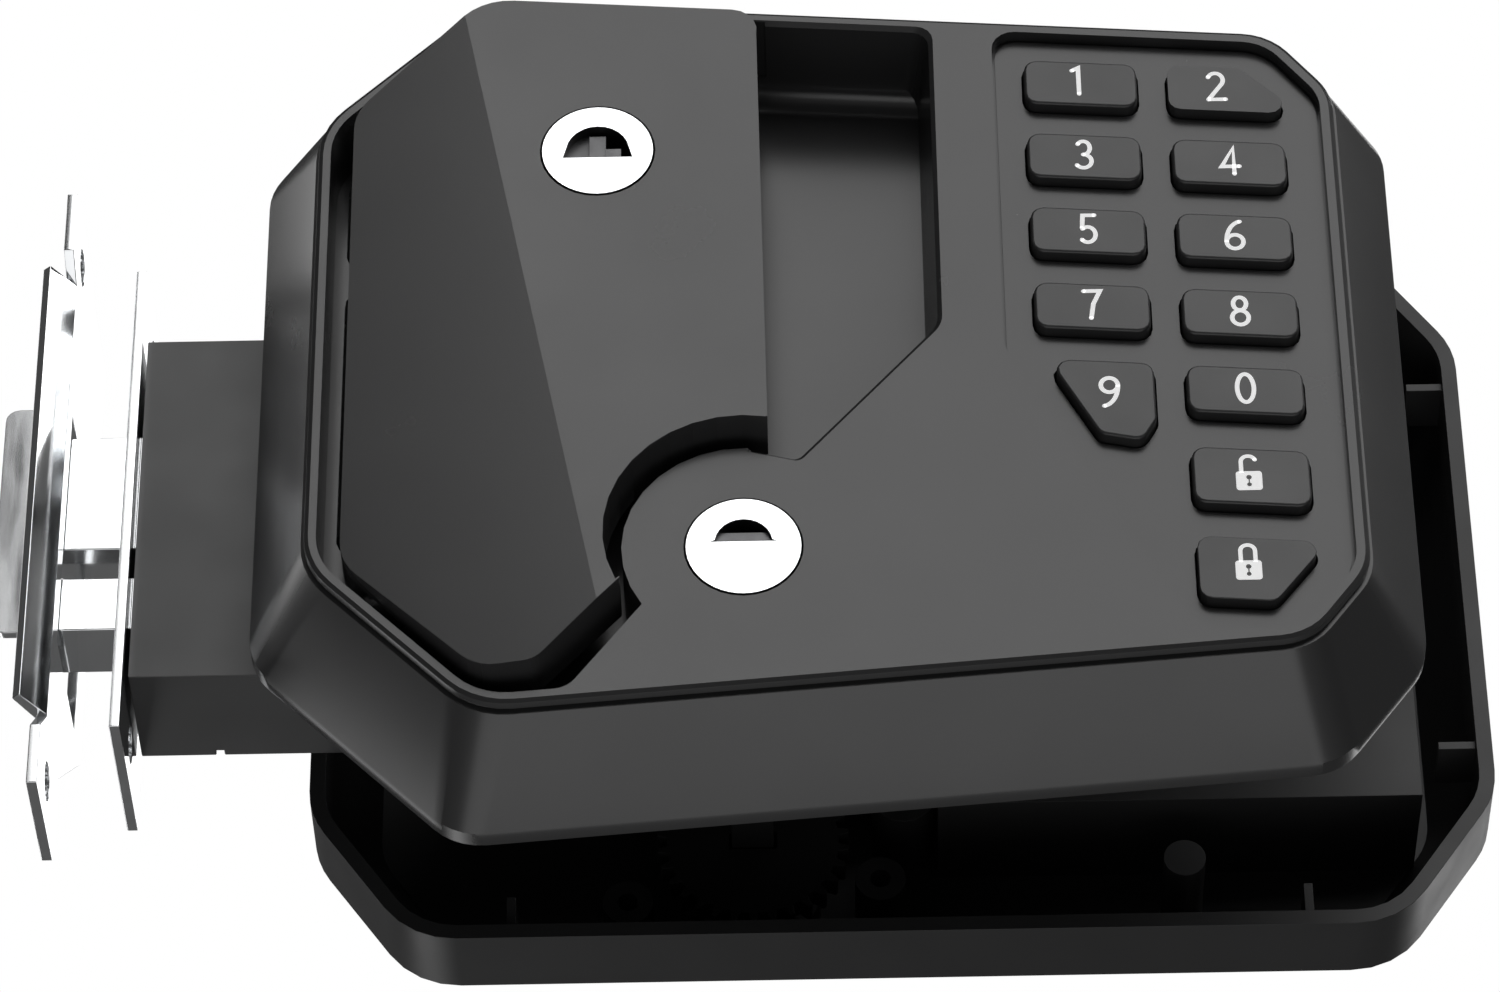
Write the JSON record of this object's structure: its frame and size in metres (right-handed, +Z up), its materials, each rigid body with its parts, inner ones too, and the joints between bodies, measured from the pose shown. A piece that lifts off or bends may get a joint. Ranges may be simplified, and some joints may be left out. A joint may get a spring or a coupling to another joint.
{
  "type": "keypad door lock",
  "caption": "Keypad door lock for a camper or van door: black pull-paddle keypad unit outside, latch case with bolts, strike, and a battery unit inside.",
  "frame": {"origin": "centre of the exterior unit's flange, in the plane of the door's outer skin", "axes": "+X right along the door as seen from outside, away from the latch edge; +Y into the door, towards the inside; +Z up"},
  "size_m": [0.1684, 0.0834, 0.1102],
  "materials": {
    "keys": "satin black moulded caps",
    "membrane": "matte silicone",
    "board": "green circuit board",
    "inner_plastic": "matte black moulded plastic",
    "housing": "fine-textured satin black powder coat on die-cast zinc",
    "gasket": "matte closed-cell rubber",
    "paddle": "fine-textured satin black powder coat on die-cast zinc",
    "steel": "plain plated steel",
    "chrome": "polished chrome plate",
    "case": "matte dark grey coated steel",
    "handle": "satin black",
    "brass": "plain turned brass",
    "cell": "plain sleeve without print",
    "cable": "matte black ribbon jacket"
  },
  "bodies": {
    "lock": {"keypad_membrane": "membrane", "keypad_circuit_board": "board", "keypad_back_cover": "inner_plastic", "exterior_housing": "housing", "door_gasket": "gasket", "paddle_pivot_pin": "steel", "paddle_return_spring": "steel", "deadbolt_key_cylinder": "steel", "latch_case": "case", "latch_case_cover": "case", "faceplate": "chrome", "latch_spring": "steel", "strike_plate": "chrome", "interior_housing": "inner_plastic", "interior_handle_pin": "steel", "drive_motor": "steel", "battery_1": "cell", "battery_2": "cell", "battery_3": "cell", "battery_4": "cell", "contact_left": "steel", "contact_right": "steel", "interior_circuit_board": "board", "wiring_harness": "cable", "mounting_screw_1": "steel", "mounting_screw_2": "steel", "mounting_screw_3": "steel"},
    "paddle": {"paddle": "paddle", "latch_arm": "steel", "paddle_key_cylinder": "steel"},
    "paddle_key": {"paddle_key_plug": "chrome", "paddle_lock_cam": "steel"},
    "latch": {"latch_bolt": "chrome"},
    "crank": {"deadbolt_crank": "steel"},
    "deadbolt": {"deadbolt": "chrome"},
    "deadbolt_key": {"deadbolt_key_plug": "chrome", "deadbolt_tailpiece": "steel"},
    "turn": {"thumb_turn": "handle", "turn_spindle": "steel", "drive_gear": "inner_plastic"},
    "pinion": {"motor_pinion": "brass"},
    "inside_lever": {"interior_handle": "handle"},
    "cover": {"battery_cover": "inner_plastic"},
    "button_1": {"key_1": "keys"},
    "button_2": {"key_2": "keys"},
    "button_3": {"key_3": "keys"},
    "button_4": {"key_4": "keys"},
    "button_5": {"key_5": "keys"},
    "button_6": {"key_6": "keys"},
    "button_7": {"key_7": "keys"},
    "button_8": {"key_8": "keys"},
    "button_9": {"key_9": "keys"},
    "button_0": {"key_0": "keys"},
    "button_unlock": {"key_unlock": "keys"},
    "button_lock": {"key_lock": "keys"}
  },
  "joints": [
    {"name": "paddle_pull", "type": "hinge", "parent": "lock", "child": "paddle", "pos_m": [-0.0505, -0.012, 0], "axis": [0, 0, -1], "range_deg": [0, 20], "stiffness_Nm_per_rad": 0.25, "springref_deg": -20.05},
    {"name": "paddle_key_turn", "type": "hinge", "parent": "paddle", "child": "paddle_key", "pos_m": [-0.0255, -0.0198, 0.0233], "axis": [0, 1, 0], "range_deg": [0, 90]},
    {"name": "latch_travel", "type": "slide", "parent": "lock", "child": "latch", "axis": [1, 0, 0], "range_m": [0, 0.0115]},
    {"name": "crank_turn", "type": "hinge", "parent": "lock", "child": "crank", "pos_m": [-0.00985, 0.02, -0.0285], "axis": [0, 1, 0], "range_deg": [0, 90]},
    {"name": "deadbolt_travel", "type": "slide", "parent": "lock", "child": "deadbolt", "axis": [1, 0, 0], "range_m": [0, 0.011]},
    {"name": "deadbolt_key_turn", "type": "hinge", "parent": "lock", "child": "deadbolt_key", "pos_m": [-0.00985, 0, -0.0285], "axis": [0, 1, 0], "range_deg": [0, 90]},
    {"name": "thumb_turn_turn", "type": "hinge", "parent": "lock", "child": "turn", "pos_m": [-0.00985, 0.05, -0.0285], "axis": [0, 1, 0], "range_deg": [0, 90]},
    {"name": "pinion_turn", "type": "hinge", "parent": "lock", "child": "pinion", "pos_m": [-0.00985, 0.042, -0.0138], "axis": [0, 1, 0], "range_deg": [-226, 0]},
    {"name": "inside_lever_pull", "type": "hinge", "parent": "lock", "child": "inside_lever", "pos_m": [-0.041, 0.0535, 0.0085], "axis": [0, 0, 1], "range_deg": [0, 20], "stiffness_Nm_per_rad": 0.12, "springref_deg": -20.05},
    {"name": "cover_lift", "type": "slide", "parent": "lock", "child": "cover", "axis": [0, 1, 0], "range_m": [0, 0.02]},
    {"name": "press_1", "type": "slide", "parent": "lock", "child": "button_1", "axis": [0, 1, 0], "range_m": [0, 0.001], "stiffness_N_per_m": 300, "springref_m": -0.001},
    {"name": "press_2", "type": "slide", "parent": "lock", "child": "button_2", "axis": [0, 1, 0], "range_m": [0, 0.001], "stiffness_N_per_m": 300, "springref_m": -0.001},
    {"name": "press_3", "type": "slide", "parent": "lock", "child": "button_3", "axis": [0, 1, 0], "range_m": [0, 0.001], "stiffness_N_per_m": 300, "springref_m": -0.001},
    {"name": "press_4", "type": "slide", "parent": "lock", "child": "button_4", "axis": [0, 1, 0], "range_m": [0, 0.001], "stiffness_N_per_m": 300, "springref_m": -0.001},
    {"name": "press_5", "type": "slide", "parent": "lock", "child": "button_5", "axis": [0, 1, 0], "range_m": [0, 0.001], "stiffness_N_per_m": 300, "springref_m": -0.001},
    {"name": "press_6", "type": "slide", "parent": "lock", "child": "button_6", "axis": [0, 1, 0], "range_m": [0, 0.001], "stiffness_N_per_m": 300, "springref_m": -0.001},
    {"name": "press_7", "type": "slide", "parent": "lock", "child": "button_7", "axis": [0, 1, 0], "range_m": [0, 0.001], "stiffness_N_per_m": 300, "springref_m": -0.001},
    {"name": "press_8", "type": "slide", "parent": "lock", "child": "button_8", "axis": [0, 1, 0], "range_m": [0, 0.001], "stiffness_N_per_m": 300, "springref_m": -0.001},
    {"name": "press_9", "type": "slide", "parent": "lock", "child": "button_9", "axis": [0, 1, 0], "range_m": [0, 0.001], "stiffness_N_per_m": 300, "springref_m": -0.001},
    {"name": "press_0", "type": "slide", "parent": "lock", "child": "button_0", "axis": [0, 1, 0], "range_m": [0, 0.001], "stiffness_N_per_m": 300, "springref_m": -0.001},
    {"name": "press_unlock", "type": "slide", "parent": "lock", "child": "button_unlock", "axis": [0, 1, 0], "range_m": [0, 0.001], "stiffness_N_per_m": 300, "springref_m": -0.001},
    {"name": "press_lock", "type": "slide", "parent": "lock", "child": "button_lock", "axis": [0, 1, 0], "range_m": [0, 0.001], "stiffness_N_per_m": 300, "springref_m": -0.001}
  ],
  "couplings": [
    {"joint": "latch_travel", "follows": "paddle_pull", "m_per_rad": 0.0324},
    {"joint": "crank_turn", "follows": "deadbolt_travel", "rad_per_m": 142.5},
    {"joint": "deadbolt_key_turn", "follows": "deadbolt_travel", "rad_per_m": 142.5},
    {"joint": "thumb_turn_turn", "follows": "deadbolt_travel", "rad_per_m": 142.5},
    {"joint": "pinion_turn", "follows": "deadbolt_travel", "rad_per_m": -356.25}
  ]
}
